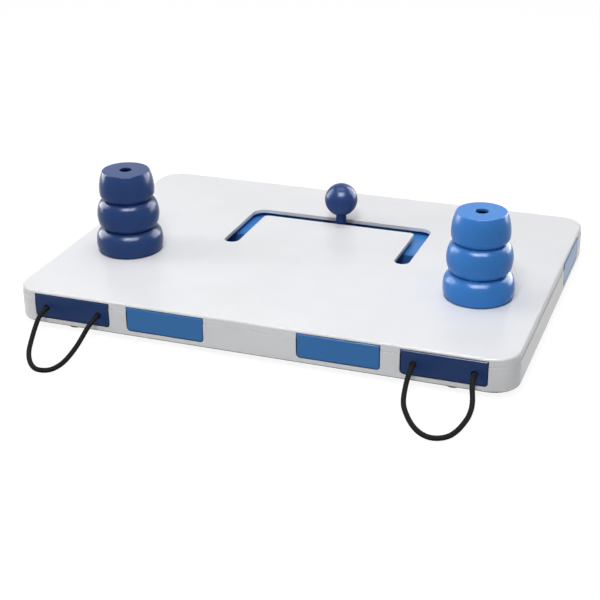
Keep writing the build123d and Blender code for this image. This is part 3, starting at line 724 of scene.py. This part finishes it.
def screw_shaft(mesh, place, length):
    """Adds a pointed shaft with a raised helical thread, upward from place."""
    settings = bpy.context.scene.board_screw
    core = SCREW_RADIUS - settings.thread_depth
    rings = []
    steps = round(length / THREAD_STEP)
    for step in range(steps + 1):
        height = length * step / steps
        point = min(1.0, (length - height) / SCREW_POINT)
        reaches = []
        for number in range(SCREW_SIDES):
            phase = (height / settings.thread_pitch - number / SCREW_SIDES) % 1.0
            crest = max(0.0, 1 - abs(phase - 0.5) / THREAD_FLANK)
            reaches.append((core + settings.thread_depth * crest) * max(POINT_TIP, point ** POINT_CURVE))
        rings.append(level_ring(mesh, place + Vector((0.0, 0.0, height)), reaches))
    close_rings(mesh, rings)


def screw_head(mesh, place):
    """Adds a pan head below place."""
    rings = []
    for share, level in HEAD_OUTLINE:
        centre = place + Vector((0.0, 0.0, (level - 1) * SCREW_HEAD_HEIGHT))
        rings.append(level_ring(mesh, centre, [share * SCREW_HEAD_RADIUS] * SCREW_SIDES))
    close_rings(mesh, rings)


def recess_cutter(places):
    """A cross with tapered arms at each head, ready to be cut out."""
    settings = bpy.context.scene.board_screw
    mesh = bmesh.new()
    for place in places:
        bottom = place - Vector((0.0, 0.0, SCREW_HEAD_HEIGHT + RECESS_MARGIN))
        for along in (0, 1):
            corners = []
            for level, share in ((0.0, 1.0), (settings.recess_depth + RECESS_MARGIN, RECESS_TAPER)):
                for u, v in ((-1, -1), (1, -1), (1, 1), (-1, 1)):
                    reach = settings.recess_reach * share * u
                    half = settings.recess_width / 2 * v
                    x, y = (reach, half) if along else (-half, reach)
                    corners.append(mesh.verts.new(bottom + Vector((x, y, level))))
            mesh.faces.new(list(reversed(corners[:4])))
            mesh.faces.new(corners[4:])
            for number in range(4):
                following = (number + 1) % 4
                mesh.faces.new((corners[number], corners[following], corners[4 + following], corners[4 + number]))
    return piece_from(mesh, "recess_cutter", screw_steel())


def cut_recesses(screws, places):
    """Cuts a cross recess into every head and keeps the result as the piece's mesh."""
    cutter = recess_cutter(places)
    cut = screws.modifiers.new("recess", "BOOLEAN")
    cut.operation = "DIFFERENCE"
    cut.object = cutter
    cut.solver = "EXACT"
    cut.use_self = True
    bpy.context.view_layer.update()
    depsgraph = bpy.context.evaluated_depsgraph_get()
    data = bpy.data.meshes.new_from_object(screws.evaluated_get(depsgraph))
    screws.modifiers.clear()
    screws.data = data
    bpy.data.objects.remove(cutter)
    sharpen(screws)


def sharpen(made):
    """Keeps hard edges hard on a smooth mesh."""
    mesh = bmesh.new()
    mesh.from_mesh(made.data)
    for edge in mesh.edges:
        if len(edge.link_faces) == 2:
            edge.smooth = edge.calc_face_angle() < SHARP_ANGLE
    mesh.to_mesh(made.data)
    mesh.free()


def linked_vertices(first, seen):
    """The vertex and all that hang together with it, each added to the seen ones."""
    seen.add(first)
    stack = [first]
    group = []
    while stack:
        here = stack.pop()
        group.append(here)
        for edge in here.link_edges:
            other = edge.other_vert(here)
            if other not in seen:
                seen.add(other)
                stack.append(other)
    return group


def solid_boxes(node):
    """The lowest and highest corner of each separate solid of a node, from its mesh."""
    mesh = bmesh.new()
    mesh.from_mesh(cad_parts[node].data)
    bmesh.ops.remove_doubles(mesh, verts=mesh.verts, dist=MERGE_DISTANCE)
    seen = set()
    boxes = []
    for vertex in mesh.verts:
        if vertex not in seen:
            points = [linked.co for linked in linked_vertices(vertex, seen)]
            low = Vector([min(point[axis] for point in points) for axis in range(3)])
            high = Vector([max(point[axis] for point in points) for axis in range(3)])
            boxes.append((low, high))
    mesh.free()
    return boxes


class BOARD_OT_screws(bpy.types.Operator):
    """Makes the cover screws and the knob's screw with threads and cross recesses"""

    bl_idname = "board.screws"
    bl_label = "Screws"

    def execute(self, context):
        material = screw_steel()
        for node, name, body in (
                ("cover_screws", "tapping_screws", "board"), ("knob_screw", "knob_tapping_screw", "knob")):
            mesh = bmesh.new()
            seats = []
            for low, high in solid_boxes(node):
                middle = (low + high) / 2
                seat = Vector((middle.x, middle.y, low.z + SCREW_HEAD_HEIGHT))
                seats.append(seat)
                screw_head(mesh, seat)
                screw_shaft(mesh, seat, high.z - seat.z)
            screws = piece_from(mesh, name, material)
            cut_recesses(screws, seats)
            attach(screws, body)
            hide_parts(node)
        return {"FINISHED"}


# ---- camera and studio ----
AIM = Vector((0.0, 0.0, 0.02))
WHITE = (1.0, 1.0, 1.0, 1.0)
FLOOR_WHITE = 1.06  # brightness of the floor near the object, lit part and own glow together
FLOOR_FADE = (0.4, 1.6)  # distance from the middle in m, from the floor's own look to plain white


class Lamp(NamedTuple):
    """A rectangular lamp: azimuth from the camera and elevation in degrees, sizes in m and power in W.

    A gloss panel lights nothing and shows in gloss alone, and a crown lamp reaches only the cones and the ball.
    """

    name: str
    azimuth: float
    elevation: float
    distance: float
    width: float
    height: float
    power: float
    gloss_panel: bool = False
    crown_lamp: bool = False


LAMPS = (
    Lamp("left_softbox", -98.0, 30.0, 0.95, 0.35, 0.5, 1.7),
    Lamp("overhead_softbox", 180.0, 82.0, 1.1, 0.9, 0.6, 3.7),
    Lamp("front_softbox", -12.0, 56.0, 1.1, 0.3, 0.3, 4.6),
    Lamp("front_panel", 0.0, 58.0, 1.1, 0.85, 0.6, 42.0, gloss_panel=True),
    Lamp("right_panel", 124.0, 19.0, 1.0, 0.85, 0.9, 27.0, gloss_panel=True, crown_lamp=True),
    Lamp("left_panel", -120.0, 18.0, 1.0, 0.6, 0.9, 18.0, gloss_panel=True, crown_lamp=True),
    Lamp("crown_softbox", 180.0, 80.0, 1.1, 0.9, 0.6, 4.5, crown_lamp=True),
)
CROWN_NODES = ("cone_left", "cone_right", "ball_knob")


class BOARD_OT_camera(bpy.types.Operator):
    """Places the camera"""

    bl_idname = "board.camera"
    bl_label = "Camera"

    def execute(self, context):
        settings = context.scene.board_studio
        data = bpy.data.cameras.new("camera")
        data.lens = settings.lens
        camera = bpy.data.objects.new("camera", data)
        context.collection.objects.link(camera)
        turn = Matrix.Rotation(settings.camera_azimuth, 4, "Z")
        tilt = Matrix.Rotation(math.pi / 2 - settings.camera_elevation, 4, "X")
        roll = Matrix.Rotation(settings.camera_roll, 4, "Z")
        camera.matrix_world = Matrix.Translation(settings.camera_place) @ turn @ tilt @ roll
        context.scene.camera = camera
        return {"FINISHED"}


def background_ray(tree):
    """1 for a ray that shows the background, straight, mirrored or through glass, and 0 for the others."""
    straight, mirrored, through = [
        tree.node("ShaderNodeLightPath", output=f"Is {kind} Ray") for kind in ("Camera", "Glossy", "Transmission")]
    return tree.node("ShaderNodeMath", {"operation": "MINIMUM"}, {0: straight + mirrored + through, 1: 1.0})


def studio_floor(settings):
    """A white floor that keeps a faint shadow."""
    half = settings.floor_size / 2
    mesh = bmesh.new()
    mesh.faces.new([mesh.verts.new((x * half, y * half, 0.0)) for x, y in ((-1, -1), (1, -1), (1, 1), (-1, 1))])
    material = bpy.data.materials.new("studio_floor")
    tree = Tree(material)
    lit = tree.node("ShaderNodeBsdfDiffuse", None, {"Color": linear(settings.floor_colour)})
    faint = tree.node("ShaderNodeBsdfDiffuse", None, {"Color": (*[settings.shadow] * 3, 1.0)})
    glow = tree.node("ShaderNodeEmission", None, {"Color": WHITE, "Strength": FLOOR_WHITE - settings.shadow})
    near = tree.node("ShaderNodeAddShader", None, {0: faint, 1: glow})
    far = tree.node("ShaderNodeEmission", None, {"Color": WHITE, "Strength": 1.0})
    distance = tree.node("ShaderNodeVectorMath", {"operation": "LENGTH"}, {0: object_place(tree)}, output=1)
    fade = ramp(tree, distance, FLOOR_FADE, "SMOOTHSTEP")
    shown = tree.node("ShaderNodeMixShader", None, {0: fade, 1: near, 2: far})
    surface = tree.node("ShaderNodeMixShader", None, {0: background_ray(tree), 1: lit, 2: shown})
    tree.finish("ShaderNodeOutputMaterial", surface)
    piece_from(mesh, "studio_floor", material)


def studio_world(settings):
    """White to look at, and a level light from all round."""
    world = bpy.data.worlds.new("studio_world")
    bpy.context.scene.world = world
    tree = Tree(world)
    ambient = tree.node("ShaderNodeBackground", None, {"Color": WHITE, "Strength": settings.ambient})
    white = tree.node("ShaderNodeBackground", None, {"Color": WHITE, "Strength": 1.0})
    surface = tree.node("ShaderNodeMixShader", None, {0: background_ray(tree), 1: ambient, 2: white})
    tree.finish("ShaderNodeOutputWorld", surface)


def hang_lamp(settings, row, crown_nodes):
    """Hangs one lamp, so that it looks at the board."""
    data = bpy.data.lights.new(row.name, "AREA")
    data.shape = "RECTANGLE"
    data.size = row.width
    data.size_y = row.height
    data.energy = row.power
    lamp = bpy.data.objects.new(row.name, data)
    bpy.context.collection.objects.link(lamp)
    turn = settings.camera_azimuth + math.radians(row.azimuth)
    rise = math.radians(row.elevation)
    away = Vector((math.sin(turn) * math.cos(rise), -math.cos(turn) * math.cos(rise), math.sin(rise)))
    lamp.location = AIM + row.distance * away
    lamp.rotation_euler = (-away).to_track_quat("-Z", "Y").to_euler()
    lamp.visible_camera = False
    lamp.visible_diffuse = not row.gloss_panel
    if row.crown_lamp:
        lamp.light_linking.receiver_collection = crown_nodes


class BOARD_OT_studio(bpy.types.Operator):
    """Sets up the floor, the world and the lamps"""

    bl_idname = "board.studio"
    bl_label = "Studio"

    def execute(self, context):
        settings = context.scene.board_studio
        studio_floor(settings)
        studio_world(settings)
        crown_nodes = bpy.data.collections.new("crown_nodes")
        for name in CROWN_NODES:
            crown_nodes.objects.link(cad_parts[name])
        for row in LAMPS:
            hang_lamp(settings, row, crown_nodes)
        context.scene.view_settings.view_transform = "Standard"
        return {"FINISHED"}


# ---- panel and registration ----
STEPS = (
    BOARD_OT_camera, BOARD_OT_knots, BOARD_OT_pull_loops, BOARD_OT_screws, BOARD_OT_plastics, BOARD_OT_feet,
    BOARD_OT_studio,
)
GROUPS = {
    "board_cord": CordSettings,
    "board_screw": ScrewSettings,
    "board_plastic": PlasticSettings,
    "board_studio": StudioSettings,
}


class BOARD_PT_steps(bpy.types.Panel):
    """Lists the steps that dress the board"""

    bl_idname = "BOARD_PT_steps"
    bl_label = "Treat board"
    bl_space_type = "VIEW_3D"
    bl_region_type = "UI"
    bl_category = "Treat board"

    def draw(self, context):
        for step in STEPS:
            self.layout.operator(step.bl_idname)


def register():
    """Registers the settings, the steps and the panel."""
    for name, group in GROUPS.items():
        bpy.utils.register_class(group)
        setattr(bpy.types.Scene, name, bpy.props.PointerProperty(type=group))
    for kind in (*STEPS, BOARD_PT_steps):
        bpy.utils.register_class(kind)


def unregister():
    """Takes the panel, the steps and the settings out again."""
    for kind in (BOARD_PT_steps, *reversed(STEPS)):
        bpy.utils.unregister_class(kind)
    for name, group in GROUPS.items():
        delattr(bpy.types.Scene, name)
        bpy.utils.unregister_class(group)


def main():
    """Dresses the board."""
    register()
    bpy.ops.board.camera()
    bpy.ops.board.knots()
    bpy.ops.board.pull_loops()
    bpy.ops.board.screws()
    bpy.ops.board.plastics()
    bpy.ops.board.feet()
    bpy.ops.board.studio()


if __name__ == "__main__":
    main()
